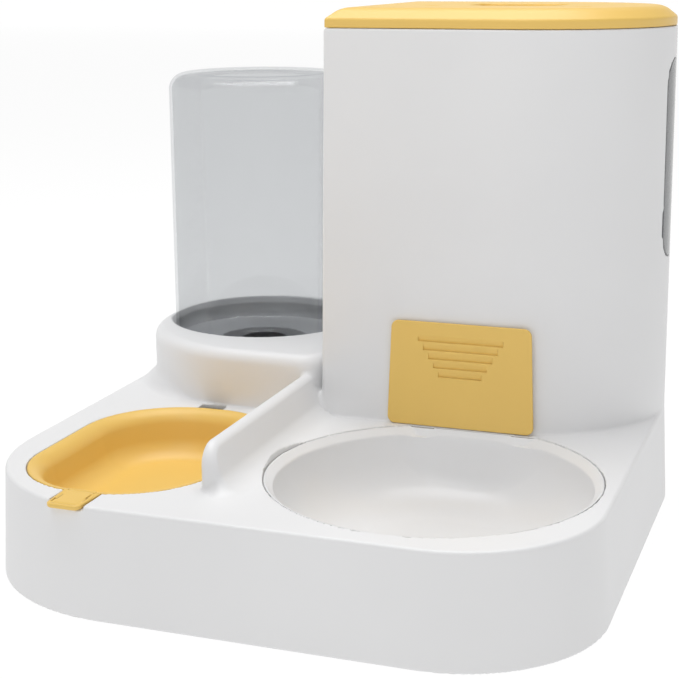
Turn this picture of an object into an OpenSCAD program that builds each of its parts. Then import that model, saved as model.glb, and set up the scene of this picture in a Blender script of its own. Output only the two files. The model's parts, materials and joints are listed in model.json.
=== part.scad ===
// Gravity pet feeder and waterer: a food hopper and an upturned bottle on one low base with two bowls.
// Millimetres, +Z up. The bowls face -Y, the hopper stands at +X and the bottle at -X.
// Origin: centre of the whole feeder's footprint, on the surface that it stands on.

/* [Base] */
// Width of the base at its foot
base_w = 310; // [304:1:316]
// Depth of the base at its foot
base_d = 325; // [322:1:328]
// Height of the base's top face above the floor
base_h = 55; // [55:1:60]
// How far the base's sides lean in over their height
base_lean = 3; // [2:0.5:3]
// Wall thickness of the white mouldings
wall = 2.6; // [2.2:0.1:2.8]
// Thickness of flat top plates
plate_t = 3; // [2.6:0.1:3.2]

/* [Hopper] */
// Width of the food hopper
tower_w = 174.2; // [170:0.2:175]
// Depth of the food hopper
tower_d = 149.5; // [148:0.5:149.5]
// Height of the hopper's mouth above the floor
tower_top = 262; // [255:1:290]
// How far the hopper's sides lean in over their height
tower_lean = 2.4; // [0:0.2:3]
// Angle of the chute that leads food to the outlet
chute_angle = 38; // [34:1:40]

/* [Food outlet] */
// Width of the outlet in the hopper's front wall
outlet_w = 58; // [50:1:58]
// Height of the outlet
outlet_h = 40.5; // [38:0.5:42]
// Width of the shutter at its foot
shutter_w = 79.6; // [76:0.2:80]
// Height of the shutter
shutter_h = 56.6; // [54:0.2:60]
// Number of grip grooves in the shutter
groove_count = 5; // [3:1:6]

/* [Window] */
// Height of the level window's clear opening
window_h = 100; // [80:1:104]
// Width of the level window's clear opening
window_w = 23; // [18:1:24]

/* [Lid] */
// Height of the lid's upright band
lid_band = 4.5; // [4:0.5:6]
// Height of the lid's sloped edge
lid_slope_h = 5.5; // [5:0.5:6]
// Width of the lid's sloped edge
lid_slope_w = 7; // [5:0.5:9]

/* [Food bowl] */
// Radius of the food bowl's rim
food_r = 81.8; // [78:0.2:82]
// Depth of the food bowl inside
food_depth = 38; // [30:1:40]

/* [Water bowl] */
// Width of the water bowl's rim
water_w = 98; // [94:0.5:98]
// Length of the water bowl's rim, front to back
water_l = 144.4; // [140:0.4:144.4]
// Depth of the water bowl inside
water_depth = 25; // [22:1:28]

/* [Bottle] */
// Radius of the bottle's body
bottle_r = 53.3; // [50:0.1:53.6]
// Height of the upturned bottle's flat end above the floor
bottle_top = 233; // [200:1:245]
// Wall thickness of the bottle
bottle_wall = 1.8; // [1.4:0.1:2.2]
// Height of the bottle seat's top face above the floor
seat_top = 87; // [85:1:90]

/* [Hidden] */
$fn = 96;

shell_color = [0.93, 0.93, 0.93];
yellow_color = [0.87, 0.68, 0.30];
clear_color = [0.80, 0.83, 0.85, 0.45];
rubber_color = [0.12, 0.12, 0.12];
seal_color = [0.75, 0.77, 0.78];
steel_color = [0.62, 0.63, 0.65];

corner_steps = 14;      // straight segments in a quarter turn of a leaning wall
past = 1;               // how far a cutting solid runs past the face that it cuts
eps = 0.01;             // overlap that joins two solids of one moulding

// Outlines are [low x, high x, low y, high y, corner radii front left, front right, back right, back left]
base_foot_z = 0.6;
base_back = 164.5;
base = [-base_w / 2, base_w / 2, base_back - base_d, base_back, 86, 72, 77.4, 62];
base_under = base_h - plate_t;

tower_left = -22.2;
tower_right = tower_left + tower_w;
tower_back = base_back - base_lean;
tower_front = tower_back - tower_d;
tower_r = tower_d / 2;
tower_cx = tower_right - tower_r;
tower_cy = tower_front + tower_r;
tower_r_front = 3;
tower_r_back = 16;

seat = [-150.4, tower_left, 11.5, 161.3, 78, 14, 2, 60];
well_x = -90.9;
well_y = 99.1;
well_r = bottle_r + 1;
well_floor = 73.5;
well_floor_t = 2.4;
well_hole_r = 26;
well_bevel_w = 1.5;
well_bevel_h = 4;
well_wall = 2.9;
neck_tube_wall = 2;

// The ridge stands upright on its left, leans on its right and has a round nose at the front
ridge_left = -33.2;
ridge_right = -20.5;
ridge_top_right = -27.6;
ridge_front = -122;
ridge_back = 24;
ridge_r = 4.5;
ridge_nose_r = 11;
ridge_top = 77.5;
ridge_hollow_top = 71;

food_x = 63.6;
food_y = -64;
food_flange_t = 5.5;
food_band_w = 4;
food_band_h = 4;
food_chord = 9.85;
food_floor_r = 42;
food_wall = 2.2;
food_gap = 0.4;
food_ledge_w = 2;
food_ring_t = 3;

water_front = -139.7;
water_left = -134.5;
water = [water_left, water_left + water_w, water_front, water_front + water_l, 46, 48, 40, 50];
water_flange_t = 2;
water_gap = 0.4;
water_hole_inset = 2.6;
water_floor_t = 2;

tab_x = -85;
tab_root_w = 19;
tab_tip_w = 17;
tab_tip_y = -159.5;
tab_top = base_h + 0.4;
tab_t = 2.4;
tab_r = 3.4;
notch_gap = 0.2;

slot = [-92, -78, 4.9, 11.5];
inlet_r = 3.2;
inlet_x = -62;
inlet_z = 44;

tray_wall = 2;
tray_gap = 1.6;
tray_pan_z = 17;
tray_cup_z = 18;
tray_cup_r = 28;
tray_channel_z = 36;
tray_seal_t = 1;
tray_top = base_under - tray_seal_t;
tray_leg_spots = [[-110, -100], [-60, -100], [-85, -20]];
tray_leg_r = 5;
tray_cup_leg_r = 8;

cover_z = 1.2;
cover_t = 2.4;
cover_gap = 0.3;
boss_r = 4.5;
boss_z = 6;
boss_bore_z = 30;
screw_r = 1.3;
screw_bore_r = 1.35;
screw_hole_r = 1.7;
screw_head_r = 3;
screw_head_h = 2;
screw_recess_r = 3.3;
screw_recess_z = 4.2;
screw_len = 14;
screw_spots = [[-8, -140], [130, 25], [-141, 25], [20, 150], [-125, 138], [118, 130]];
foot_spots = [[-120, -115], [120, -100], [-115, 120], [110, 115]];
foot_r = 9;
foot_t = 2.2;
foot_recess_r = 9.2;
foot_recess_t = 1;

outlet_x = 56;
outlet_z = 57.5;
outlet_r = 1.5;

chute_y = 19.5;
chute_z = 58;
chute_t = 2.4;
chute_inset = 4.2;
chute_rib_x = [30, 100];
chute_screw_y = 120;
chute_boss_r = 4;
chute_bore_h = 13;
fin_x = [22.5, 87.5];
fin_t = 2;
fin_start = 14;
fin_len = 60;
fin_h = 18;

window_z = 193;
window_rim = 2.5;
lens_t = 1;
window_gasket_t = 0.5;

shutter_cx = 56.2;
shutter_z = base_h + 0.4;
shutter_top_w = 75;
shutter_front = 10.3;
shutter_t = 1.5;
shutter_r = 3.5;
shutter_foot_r = 5;
groove_top_z = 103.4;
groove_pitch = 4.7;
groove_top_w = 45.7;
groove_step_w = 5.6;
groove_h = 2.4;
groove_deep = 0.8;
stem_w = 5.7;
stem_h = 8;
stem_len = 4.7;
stem_z = 59;
stem_x = [30.15, 81.85];
clip_w = 10;
clip_h = 11;
clip_t = 2;
clip_shift = 2.15;
clip_screw_r = 1;
clip_bore_r = 1.05;
clip_screw_len = 4.7;
clip_head_r = 2.4;
clip_head_h = 1.5;

lid_gap = 0.2;
lid_z = tower_top + lid_gap;
lid_band_z = lid_z + lid_band;
lid_top = lid_band_z + lid_slope_h;
lid_inset = tower_lean + 0.3;
lid_wall = 2.2;
dish = [40, 90, 66, 108, 16, 16, 6, 6];
dish_deep = 3;
dimple_spots = [[23.5, 66], [105.5, 61]];
dimple_r = 5;
dimple_deep = 1.2;

liner_z = tower_top - 10;
liner_gap = 0.8;
liner_inset = tower_lean + wall + liner_gap;
liner_wall = 2;
liner_spigot_inset = 2;
liner_spigot_h = 2.4;
liner_seal_z = 256;
liner_seal_h = 3;
liner_groove = 1.1;
seal_gap = 0.2;

bottle_z = well_floor + 0.2;
bottle_shoulder_r = 9.5;
bottle_foot_r = 7;
neck_r = 16;
neck_end = 47;
neck_top_z = 68;
shoulder_r = 24;

cap_r = 20;
cap_z = 43;
cap_h = 18;
cap_floor_t = 2.2;
cap_hole_r = 6;
cap_grip_count = 12;
cap_grip_r = 2.5;
cap_grip_out = 1.5;
gasket_t = 1.8;
sleeve_r = 14.1;
sleeve_wall = 1.1;
sleeve_top = 73;
bridge_z = 54;
bridge_t = 2;
bridge_r = 11.5;
bridge_post_r = 1.3;
bridge_post_at = 9.8;
bridge_bore_r = 2.1;

stem_r = 2.05;
stem_low = 40;
stem_high = 59.5;
disc_r = 7.5;
disc_z = 46.7;
disc_t = 1.4;
valve_ring_r = 8;
seal_rest_gap = 0.05;
valve_ring_t = disc_z - cap_z - cap_floor_t - seal_rest_gap;
post_gap = 0.3;
post_r = 2.2;
post_disc_r = 9;
post_disc_t = 2;
spring_r = 4.4;
spring_wire_r = 0.4;
spring_turns = 4;

// Corner radius left after an outline moves in by d
function inner_r(r, d) = max(r - d, 0.4);

// Points along an arc about (cx, cy)
function arc(cx, cy, r, from, to, steps) =
    [for (i = [0 : steps]) let (a = from + (to - from) * i / steps) [cx + r * cos(a), cy + r * sin(a)]];

// Four-cornered outline p, moved in by d, as points
function plate_points(p, d) =
    let (fl = inner_r(p[4], d), fr = inner_r(p[5], d), br = inner_r(p[6], d), bl = inner_r(p[7], d))
    concat(
        arc(p[0] + d + fl, p[2] + d + fl, fl, 180, 270, corner_steps),
        arc(p[1] - d - fr, p[2] + d + fr, fr, 270, 360, corner_steps),
        arc(p[1] - d - br, p[3] - d - br, br, 0, 90, corner_steps),
        arc(p[0] + d + bl, p[3] - d - bl, bl, 90, 180, corner_steps)
    );

// D-shaped outline of the hopper, moved in by d, as points
function tower_points(d) =
    let (fl = inner_r(tower_r_front, d), bl = inner_r(tower_r_back, d))
    concat(
        arc(tower_left + d + fl, tower_front + d + fl, fl, 180, 270, corner_steps),
        arc(tower_cx, tower_cy, tower_r - d, -90, 90, 3 * corner_steps),
        arc(tower_left + d + bl, tower_back - d - bl, bl, 90, 180, corner_steps)
    );

// How far the base's side has leaned in at height z
function base_in(z) = base_lean * (z - base_foot_z) / (base_h - base_foot_z);

// How far the hopper's side has leaned in at height z
function tower_in(z) = tower_lean * (z - base_h) / (tower_top - base_h);

// Quarter disc about (x, y) that starts at the given angle
module corner_2d(x, y, r, from) {
    translate([x, y]) intersection() {
        circle(r = r);
        rotate(from) square(r);
    }
}

// Four-cornered outline p, moved in by d, with true arcs
module plate_2d(p, d = 0) {
    fl = inner_r(p[4], d);
    fr = inner_r(p[5], d);
    br = inner_r(p[6], d);
    bl = inner_r(p[7], d);
    x0 = p[0] + d;
    x1 = p[1] - d;
    y0 = p[2] + d;
    y1 = p[3] - d;
    polygon([
        [x0 + fl, y0], [x1 - fr, y0], [x1, y0 + fr], [x1, y1 - br],
        [x1 - br, y1], [x0 + bl, y1], [x0, y1 - bl], [x0, y0 + fl]
    ]);
    corner_2d(x0 + fl, y0 + fl, fl, 180);
    corner_2d(x1 - fr, y0 + fr, fr, 270);
    corner_2d(x1 - br, y1 - br, br, 0);
    corner_2d(x0 + bl, y1 - bl, bl, 90);
}

// D-shaped outline of the hopper, moved in by d, with true arcs
module tower_2d(d = 0) {
    fl = inner_r(tower_r_front, d);
    bl = inner_r(tower_r_back, d);
    x0 = tower_left + d;
    y0 = tower_front + d;
    y1 = tower_back - d;
    polygon([
        [x0 + fl, y0], [tower_cx, y0], [tower_cx, y1], [x0 + bl, y1], [x0, y1 - bl], [x0, y0 + fl]
    ]);
    corner_2d(x0 + fl, y0 + fl, fl, 180);
    corner_2d(x0 + bl, y1 - bl, bl, 90);
    translate([tower_cx, tower_cy]) circle(r = tower_r - d);
}

// Extrudes a 2D shape from height z0 to height z1
module from_to(z0, z1) {
    translate([0, 0, z0]) linear_extrude(height = z1 - z0) children();
}

// Closed skin over a stack of outlines with equal point counts, one at each rising level
module skin(outlines, levels) {
    n = len(outlines[0]);
    last = len(levels) - 1;
    polyhedron(
        points = [for (k = [0 : last]) for (p = outlines[k]) [p[0], p[1], levels[k]]],
        faces = concat(
            [[for (i = [0 : n - 1]) i]],
            [[for (i = [0 : n - 1]) (last + 1) * n - 1 - i]],
            [for (k = [0 : last - 1]) for (i = [0 : n - 1])
                [k * n + i, (k + 1) * n + i, (k + 1) * n + (i + 1) % n, k * n + (i + 1) % n]]
        )
    );
}

// Solid of the base between two heights, its sides d inside the outer face
module base_solid(z0, z1, d) {
    skin([plate_points(base, d + base_in(z0)), plate_points(base, d + base_in(z1))], [z0, z1]);
}

// Solid of the hopper between two heights, its sides d inside the outer face
module tower_solid(z0, z1, d) {
    skin([tower_points(d + tower_in(z0)), tower_points(d + tower_in(z1))], [z0, z1]);
}

// Round tube along +Z
module tube(r_out, r_in, z0, z1) {
    difference() {
        translate([0, 0, z0]) cylinder(r = r_out, h = z1 - z0);
        translate([0, 0, z0 - past]) cylinder(r = r_in, h = z1 - z0 + 2 * past);
    }
}

// Moves children to the centre of the bottle well
module at_well() {
    translate([well_x, well_y, 0]) children();
}

// Cross-headed screw: head from z = 0 downwards, shank upwards
module screw(head_r, head_h, shank_r, shank_len) {
    slot_w = head_r * 0.3;
    difference() {
        translate([0, 0, -head_h]) cylinder(r = head_r, h = head_h);
        for (turn = [0, 90]) {
            rotate([0, 0, turn]) translate([-head_r * 0.6, -slot_w / 2, -head_h - past])
                cube([head_r * 1.2, slot_w, past + head_h / 2]);
        }
    }
    translate([0, 0, -eps]) cylinder(r = shank_r, h = shank_len + eps);
}

// Circle of the food bowl with its back cut straight at y = chord
module food_disc(r, z0, z1, chord) {
    difference() {
        translate([food_x, food_y, z0]) cylinder(r = r, h = z1 - z0);
        translate([food_x - r - past, chord, z0 - past]) cube([2 * r + 2 * past, r, z1 - z0 + 2 * past]);
    }
}

// Solid of the ridge between two heights, its sides d inside the outer face
module ridge_solid(z0, z1, d, nose_r) {
    lean = (ridge_right - ridge_top_right) / (ridge_top - base_h);
    low_x = ridge_right - d + lean * (base_h - z0);
    high_x = ridge_right - d + lean * (base_h - z1);
    front = ridge_front + d;
    intersection() {
        translate([0, ridge_back, 0]) rotate([90, 0, 0]) linear_extrude(height = ridge_back - ridge_front)
            polygon([[ridge_left + d, z0], [low_x, z0], [high_x, z1], [ridge_left + d, z1]]);
        translate([ridge_left, 0, 0]) rotate([90, 0, 90]) linear_extrude(height = low_x - ridge_left + past)
            union() {
                polygon([
                    [front, z0], [ridge_back, z0], [ridge_back, z1],
                    [front + nose_r, z1], [front, z1 - nose_r]
                ]);
                corner_2d(front + nose_r, z1 - nose_r, nose_r, 90);
            }
        from_to(z0, z1)
            plate_2d([ridge_left, low_x + d, ridge_front, ridge_back, ridge_r, ridge_r, 0.5, 0.5], d);
    }
}

// Outer skin of the base, with the partition ridge
module base_outer() {
    base_solid(base_foot_z, base_h, 0);
    difference() {
        ridge_solid(base_h - eps, ridge_top, 0, ridge_nose_r);
        from_to(base_h, ridge_top + past) plate_2d(seat);
        from_to(base_h, ridge_top + past) tower_2d();
    }
}

// Hollow of the base, open below
module base_hollow() {
    base_solid(0, base_under, wall);
    difference() {
        ridge_solid(base_under - eps, ridge_hollow_top, wall, ridge_nose_r - wall);
        from_to(base_under - past, ridge_top) plate_2d(seat, -wall);
        from_to(base_under - past, ridge_top) tower_2d(-wall);
    }
}

module base_housing() {
    ring_r = food_r + food_gap + wall;
    ledge_z = base_h - food_flange_t;
    color(shell_color) difference() {
        union() {
            difference() {
                base_outer();
                base_hollow();
            }
            food_disc(ring_r, ledge_z - food_ring_t, base_under + eps, food_chord + 3);
            for (s = screw_spots) {
                translate([s[0], s[1], boss_z]) cylinder(r = boss_r, h = base_under - boss_z + eps);
            }
        }
        food_disc(food_r + food_gap, ledge_z, base_h + past, food_chord + food_gap);
        food_disc(food_r + food_gap - food_ledge_w, ledge_z - food_ring_t - past, base_h, food_chord - 2);
        from_to(base_h - water_flange_t, base_h + past) plate_2d(water, -water_gap);
        from_to(base_under - past, base_h) plate_2d(water, water_hole_inset);
        translate([slot[0], slot[2], base_under - past])
            cube([slot[1] - slot[0], slot[3] - slot[2], plate_t + 2 * past]);
        translate([tab_x - tab_root_w / 2 - notch_gap, base[2] - past, tab_top - tab_t - notch_gap])
            cube([tab_root_w + 2 * notch_gap, water_front - base[2] + 3 * past, plate_t]);
        at_well() translate([0, 0, base_under - past]) cylinder(r = well_hole_r, h = plate_t + 2 * past);
        for (s = screw_spots) {
            translate([s[0], s[1], boss_z - past])
                cylinder(r = screw_bore_r, h = boss_bore_z - boss_z + past);
        }
        for (x = chute_rib_x) {
            translate([x, chute_screw_y, base_under - past])
                cylinder(r = screw_hole_r, h = plate_t + 2 * past);
        }
    }
}

module bottle_seat() {
    floor_z = well_floor - well_floor_t;
    color(shell_color) difference() {
        union() {
            difference() {
                from_to(base_h, seat_top) plate_2d(seat);
                from_to(base_h - past, seat_top - plate_t) plate_2d(seat, wall);
            }
            at_well() translate([0, 0, floor_z])
                cylinder(r = well_r + well_wall, h = seat_top - floor_z - past);
            at_well() translate([0, 0, base_h])
                cylinder(r = well_hole_r + neck_tube_wall, h = floor_z - base_h + eps);
        }
        at_well() rotate_extrude() polygon([
            [0, base_h - past], [well_hole_r, base_h - past], [well_hole_r, well_floor],
            [well_r, well_floor], [well_r, seat_top - well_bevel_h], [well_r + well_bevel_w, seat_top],
            [well_r + well_bevel_w, seat_top + past], [0, seat_top + past]
        ]);
    }
}

// Outline of the outlet in the front wall, with round corners, in X and Z
module outlet_2d() {
    half = outlet_w / 2;
    plate_2d([outlet_x - half, outlet_x + half, outlet_z, outlet_z + outlet_h,
        outlet_r, outlet_r, outlet_r, outlet_r]);
}

// Prism along +X through the right-hand wall, of the window's long rounded shape grown by d
module window_prism(d) {
    half = window_w / 2 + d;
    reach = window_h / 2 - window_w / 2;
    translate([tower_cx, tower_cy, window_z]) rotate([90, 0, 90]) linear_extrude(height = tower_r + 2 * past)
        union() {
            square([2 * half, 2 * reach], center = true);
            for (side = [-1, 1]) translate([0, side * reach]) circle(r = half);
        }
}

// Shell layer of the hopper's wall between two depths, for the window's heights
module wall_layer(d0, d1) {
    margin = window_h / 2 + 8;
    difference() {
        tower_solid(window_z - margin, window_z + margin, d0);
        tower_solid(window_z - margin - past, window_z + margin + past, d1);
    }
}

module food_tower() {
    color(shell_color) difference() {
        tower_solid(base_h, tower_top, 0);
        tower_solid(base_h - past, tower_top + past, wall);
        translate([0, tower_front + 3 * wall, 0]) rotate([90, 0, 0]) linear_extrude(height = 4 * wall)
            outlet_2d();
        window_prism(0);
        intersection() {
            window_prism(window_rim + 0.2);
            wall_layer(-past, lens_t + window_gasket_t);
        }
    }
}

module window_lens() {
    color(clear_color) intersection() {
        window_prism(window_rim);
        wall_layer(0, lens_t);
    }
}

module window_gasket() {
    color(seal_color) difference() {
        intersection() {
            window_prism(window_rim);
            wall_layer(lens_t, lens_t + window_gasket_t);
        }
        window_prism(0.5);
    }
}

module bottom_cover() {
    cup_r = boss_r + 0.5;
    color(shell_color) difference() {
        union() {
            from_to(cover_z, cover_z + cover_t) plate_2d(base, wall + cover_gap);
            for (s = screw_spots) {
                translate([s[0], s[1], cover_z]) cylinder(r = cup_r, h = boss_z - cover_z);
            }
        }
        for (s = screw_spots) {
            translate([s[0], s[1], cover_z - past])
                cylinder(r = screw_recess_r, h = screw_recess_z - cover_z + past);
            translate([s[0], s[1], cover_z]) cylinder(r = screw_hole_r, h = boss_z);
        }
        for (s = foot_spots) {
            translate([s[0], s[1], cover_z - past]) cylinder(r = foot_recess_r, h = foot_recess_t + past);
        }
    }
}

module cover_screws() {
    color(steel_color) for (s = screw_spots) {
        translate([s[0], s[1], screw_recess_z]) screw(screw_head_r, screw_head_h, screw_r, screw_len);
    }
}

module rubber_feet() {
    lip = 0.6;
    color(rubber_color) for (s = foot_spots) {
        translate([s[0], s[1], 0]) rotate_extrude() polygon([
            [0, 0], [foot_r - lip, 0], [foot_r, lip], [foot_r, foot_t], [0, foot_t]
        ]);
    }
}

// Places children on the chute's slope, with its low front edge as the x axis
module on_slope() {
    translate([0, chute_y, chute_z]) rotate([chute_angle, 0, 0]) children();
}

module chute() {
    reach = 220;
    color(shell_color) difference() {
        union() {
            intersection() {
                from_to(base_h, tower_top) tower_2d(chute_inset);
                on_slope() translate([tower_left, 0, -chute_t]) cube([tower_w, reach, chute_t]);
            }
            for (x = chute_rib_x) difference() {
                union() {
                    translate([x - fin_t / 2, chute_y + 20, base_h]) cube([fin_t, 105, 100]);
                    translate([x, chute_screw_y, base_h]) cylinder(r = chute_boss_r, h = 30);
                }
                on_slope() translate([tower_left, -reach / 2, -chute_t / 2])
                    cube([tower_w, 2 * reach, reach]);
            }
            on_slope() for (x = fin_x) {
                translate([x, fin_start, -eps]) cube([fin_t, fin_len, fin_h + eps]);
            }
        }
        for (x = chute_rib_x) {
            translate([x, chute_screw_y, base_h - past]) cylinder(r = screw_bore_r, h = chute_bore_h + past);
        }
    }
}

module chute_screws() {
    color(steel_color) for (x = chute_rib_x) {
        translate([x, chute_screw_y, base_under]) screw(screw_head_r, screw_head_h, screw_r, screw_len);
    }
}

// Outline of the channel between the water pan and the cup, grown by d
module channel_2d(d) {
    translate([slot[0] - d, slot[2] - 2])
        square([slot[1] - slot[0] + 2 * d, well_y - tray_cup_r / 2 - slot[2]]);
}

// Plan of the water tray's inside, grown by d
module tray_2d(d) {
    plate_2d(water, tray_gap - d);
    channel_2d(d);
    translate([well_x, well_y]) circle(r = tray_cup_r + d);
}

module water_tray() {
    legs_z = cover_z + cover_t;
    color(shell_color) difference() {
        union() {
            from_to(tray_pan_z, tray_top) plate_2d(water, tray_gap - tray_wall);
            from_to(tray_channel_z, tray_top) channel_2d(tray_wall);
            at_well() translate([0, 0, tray_cup_z])
                cylinder(r = tray_cup_r + tray_wall, h = tray_top - tray_cup_z);
            for (s = tray_leg_spots) {
                translate([s[0], s[1], legs_z]) cylinder(r = tray_leg_r, h = tray_pan_z - legs_z + eps);
            }
            at_well() translate([0, 0, legs_z]) cylinder(r = tray_cup_leg_r, h = tray_cup_z - legs_z + eps);
        }
        from_to(tray_pan_z + tray_wall, base_h) plate_2d(water, tray_gap);
        from_to(tray_channel_z + tray_wall, base_h) channel_2d(0);
        at_well() translate([0, 0, tray_cup_z + tray_wall]) cylinder(r = tray_cup_r, h = base_h);
    }
}

module tray_seal() {
    color(seal_color) from_to(tray_top, base_under) difference() {
        tray_2d(tray_wall);
        tray_2d(0);
    }
}

module valve_post() {
    floor_z = tray_cup_z + tray_wall;
    color(shell_color) at_well() rotate_extrude() polygon([
        [0, floor_z], [post_disc_r, floor_z], [post_disc_r, floor_z + post_disc_t],
        [post_r, floor_z + post_disc_t], [post_r, stem_low - post_gap], [0, stem_low - post_gap]
    ]);
}

// Shutter's front outline in X and Z: wider at its foot, with round corners
module shutter_2d() {
    foot = shutter_w / 2;
    top = shutter_top_w / 2;
    top_z = shutter_z + shutter_h;
    hull() for (side = [-1, 1]) {
        translate([shutter_cx + side * (foot - shutter_foot_r), shutter_z + shutter_foot_r])
            circle(r = shutter_foot_r, $fn = 32);
        translate([shutter_cx + side * (top - shutter_r), top_z - shutter_r])
            circle(r = shutter_r, $fn = 32);
    }
}

// Turns children drawn in X and Z into a plate from y0 back to y1
module upright(y0, y1) {
    translate([0, y1, 0]) rotate([90, 0, 0]) linear_extrude(height = y1 - y0) children();
}

module outlet_shutter() {
    back = shutter_front + shutter_t;
    color(yellow_color) difference() {
        union() {
            upright(shutter_front, back) shutter_2d();
            for (x = stem_x) {
                translate([x - stem_w / 2, back - eps, stem_z]) cube([stem_w, stem_len + eps, stem_h]);
            }
        }
        for (i = [0 : groove_count - 1]) {
            w = groove_top_w - i * groove_step_w;
            z = groove_top_z - i * groove_pitch - groove_h / 2;
            translate([shutter_cx - w / 2, shutter_front - past, z]) cube([w, past + groove_deep, groove_h]);
        }
        for (x = stem_x) {
            translate([x, back + stem_len + past, stem_z + stem_h / 2]) rotate([90, 0, 0])
                cylinder(r = clip_bore_r, h = stem_len + past);
        }
    }
}

module shutter_clips() {
    y = shutter_front + shutter_t + stem_len;
    color(yellow_color) for (side = [0, 1]) {
        x = stem_x[side] + (2 * side - 1) * clip_shift;
        difference() {
            translate([x - clip_w / 2, y, stem_z + (stem_h - clip_h) / 2]) cube([clip_w, clip_t, clip_h]);
            translate([stem_x[side], y + clip_t + past, stem_z + stem_h / 2]) rotate([90, 0, 0])
                cylinder(r = clip_bore_r, h = clip_t + 2 * past);
        }
    }
}

module shutter_screws() {
    y = shutter_front + shutter_t + stem_len + clip_t;
    color(steel_color) for (x = stem_x) {
        translate([x, y, stem_z + stem_h / 2]) rotate([90, 0, 0])
            screw(clip_head_r, clip_head_h, clip_screw_r, clip_screw_len);
    }
}

module lid() {
    pad = 2.4;
    color(yellow_color) difference() {
        skin(
            [tower_points(lid_inset), tower_points(lid_inset), tower_points(lid_inset + lid_slope_w)],
            [lid_z, lid_band_z, lid_top]
        );
        difference() {
            skin(
                [for (d = [lid_wall, lid_wall, lid_slope_w]) tower_points(lid_inset + d)],
                [lid_z - past, lid_band_z - past, lid_top - lid_wall]
            );
            from_to(lid_top - dish_deep - pad, lid_top) plate_2d(dish, -pad);
        }
        from_to(lid_top - dish_deep, lid_top + past) plate_2d(dish);
        for (s = dimple_spots) {
            translate([s[0], s[1], lid_top - dimple_deep]) cylinder(r = dimple_r, h = dimple_deep + past);
        }
    }
}

module lid_liner() {
    in = liner_inset + liner_wall;
    color(shell_color) difference() {
        union() {
            from_to(liner_z, lid_z) tower_2d(liner_inset);
            from_to(lid_z - eps, lid_z + liner_spigot_h) tower_2d(liner_inset + liner_spigot_inset);
        }
        from_to(liner_z - past, lid_z - liner_wall) tower_2d(in);
        from_to(liner_seal_z, liner_seal_z + liner_seal_h) difference() {
            tower_2d(liner_inset - past);
            tower_2d(liner_inset + liner_groove);
        }
    }
}

module lid_seal() {
    outer = tower_in(liner_seal_z + liner_seal_h) + wall + seal_gap;
    color(seal_color) from_to(liner_seal_z, liner_seal_z + liner_seal_h) difference() {
        tower_2d(outer);
        tower_2d(liner_inset + liner_groove);
    }
}

// Half section of the food bowl's hollow, grown by g: floor, round wall, then the sloped rim band
function food_section(g) =
    let (
        rim = food_r - food_band_w,
        low = base_h - food_depth,
        high = base_h - food_band_h,
        steps = 10
    )
    concat(
        [[0, low - g], [food_floor_r, low - g]],
        [for (i = [1 : steps]) let (a = 90 * i / steps)
            [food_floor_r + (rim - food_floor_r + g) * sin(a), high - (high - low + g) * cos(a)]]
    );

// Food bowl's turned solid with the back cut straight at y = chord
module food_turned(section, chord) {
    difference() {
        translate([food_x, food_y, 0]) rotate_extrude() polygon(section);
        translate([food_x - 2 * food_r, chord, 0]) cube([4 * food_r, 2 * food_r, 2 * base_h]);
    }
}

module food_bowl() {
    under = base_h - food_flange_t;
    color(shell_color) difference() {
        union() {
            food_turned(concat(food_section(food_wall), [[0, base_h - food_band_h]]), food_chord - 2.4);
            food_disc(food_r, under, base_h, food_chord);
        }
        food_turned(
            concat(food_section(0), [[food_r, base_h], [food_r, base_h + past], [0, base_h + past]]),
            food_chord - 2.6
        );
    }
}

// Water bowl's hollow or body as a stack of shrinking outlines: [inset, height] pairs from the floor up
module water_stack(steps) {
    skin([for (s = steps) plate_points(water, s[0])], [for (s = steps) s[1]]);
}

module water_bowl() {
    low = base_h - water_depth;
    under = base_h - water_flange_t;
    tab_low = tab_top - tab_t;
    color(yellow_color) difference() {
        union() {
            water_stack([
                [20, low - water_floor_t], [13.5, low - 0.2], [9.4, low + 5.8], [7.2, low + 13],
                [5.4, low + 18], [2.9, under + eps]
            ]);
            from_to(under, base_h) plate_2d(water);
            from_to(tab_low, tab_top) polygon([
                [tab_x - tab_root_w / 2, water_front + 3], [tab_x + tab_root_w / 2, water_front + 3],
                [tab_x + tab_root_w / 2, water_front - 6], [tab_x + tab_tip_w / 2, tab_tip_y + tab_r],
                [tab_x + tab_tip_w / 2 - tab_r, tab_tip_y], [tab_x - tab_tip_w / 2 + tab_r, tab_tip_y],
                [tab_x - tab_tip_w / 2, tab_tip_y + tab_r], [tab_x - tab_root_w / 2, water_front - 6]
            ]);
        }
        water_stack([
            [22, low], [15.5, low + 2.2], [11.5, low + 7.5], [9.2, low + 14], [7.6, low + 19],
            [6.2, base_h - 3.2], [4.6, base_h - 1.3], [3.2, base_h - 0.4], [1.8, base_h],
            [1.8, base_h + past]
        ]);
        translate([inlet_x, water[3] + past, inlet_z]) rotate([90, 0, 0]) cylinder(r = inlet_r, h = 18);
    }
}

// Half section of the upturned bottle, d inside its outer face
module bottle_section(d) {
    top_r = bottle_shoulder_r - d;
    foot_r = bottle_foot_r - d;
    r = bottle_r - d;
    top = bottle_top - d;
    polygon(concat(
        [[0, neck_end - past * sign(d)], [neck_r - d, neck_end - past * sign(d)], [neck_r - d, neck_top_z]],
        [[shoulder_r - d, bottle_z + d]],
        arc(r - foot_r, bottle_z + d + foot_r, foot_r, -90, 0, 8),
        arc(r - top_r, top - top_r, top_r, 0, 90, 10),
        [[0, top]]
    ));
}

module bottle() {
    color(clear_color) at_well() difference() {
        rotate_extrude() bottle_section(0);
        rotate_extrude() bottle_section(bottle_wall);
    }
}

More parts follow.
